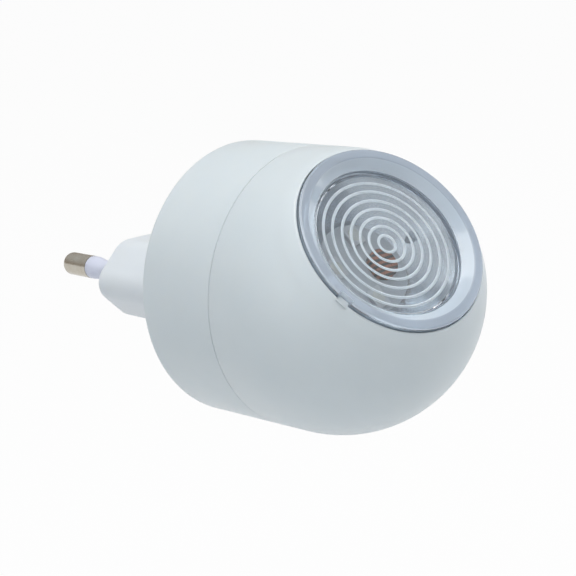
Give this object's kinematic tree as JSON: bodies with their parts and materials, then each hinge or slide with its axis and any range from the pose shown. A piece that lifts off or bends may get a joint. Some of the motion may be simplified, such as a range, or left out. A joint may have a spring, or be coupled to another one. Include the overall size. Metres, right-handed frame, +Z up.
{
  "type": "plug in night light",
  "caption": "Plug-in night light: round base with a flat two-pin plug nose, and a domed head with a slanted stepped lens that turns on the base.",
  "frame": {"origin": "middle of the plug's engagement face, the face that meets the socket", "axes": "+Y along the pins into the wall, -Y the front of the lamp, +Z up; the flat of the plug lies in X"},
  "size_m": [0.045, 0.0811, 0.045],
  "materials": {
    "shell_plastic": "satin moulded",
    "plug_plastic": "satin moulded",
    "pin_metal": "nickel plated, lightly brushed",
    "sleeve_plastic": "smooth",
    "board_laminate": "pale laminate",
    "screw_steel": "zinc plated",
    "capacitor_case": "moulded yellow",
    "capacitor_can": "sleeved can",
    "chip_black": "moulded black",
    "resistor_coat": "flameproof coat",
    "chip_ceramic": "glazed chip",
    "header_plastic": "natural nylon",
    "bearing_plastic": "self-lubricating, matt",
    "lens_clear": "clear polished",
    "reflector_silver": "satin metallised",
    "led_body": "phosphor window in a white case",
    "sensor_face": "resin-coated face",
    "spring_steel": "bright rolled",
    "washer_steel": "zinc plated",
    "cable_sheath": "soft sheath"
  },
  "bodies": {
    "base": {"base_shell": "shell_plastic", "plug_block": "plug_plastic", "pin_left": "pin_metal", "pin_right": "pin_metal", "pin_sleeve_left": "sleeve_plastic", "pin_sleeve_right": "sleeve_plastic", "power_board": "board_laminate", "board_screws": "screw_steel", "film_capacitor": "capacitor_case", "smoothing_capacitor": "capacitor_can", "bridge_rectifier": "chip_black", "fusible_resistor": "resistor_coat", "bleed_resistors": "chip_ceramic", "wire_header": "header_plastic", "swivel_ring": "bearing_plastic", "swivel_ring_screws": "screw_steel"},
    "head": {"head_shell": "shell_plastic", "lens": "lens_clear", "reflector": "reflector_silver", "lamp_board": "board_laminate", "leds": "led_body", "light_sensor": "sensor_face", "lamp_resistors": "chip_ceramic", "sensor_transistor": "chip_black", "lamp_board_screws": "screw_steel", "swivel_hub": "bearing_plastic", "hub_screws": "screw_steel", "wave_washer": "spring_steel", "retaining_washer": "washer_steel", "retaining_screws": "screw_steel", "lead_cable": "cable_sheath"}
  },
  "joints": [
    {"name": "head_swivel", "type": "hinge", "parent": "base", "child": "head", "pos_m": [0, -0.0331, 0], "axis": [0, 1, 0], "range_deg": [-159, 181]}
  ]
}
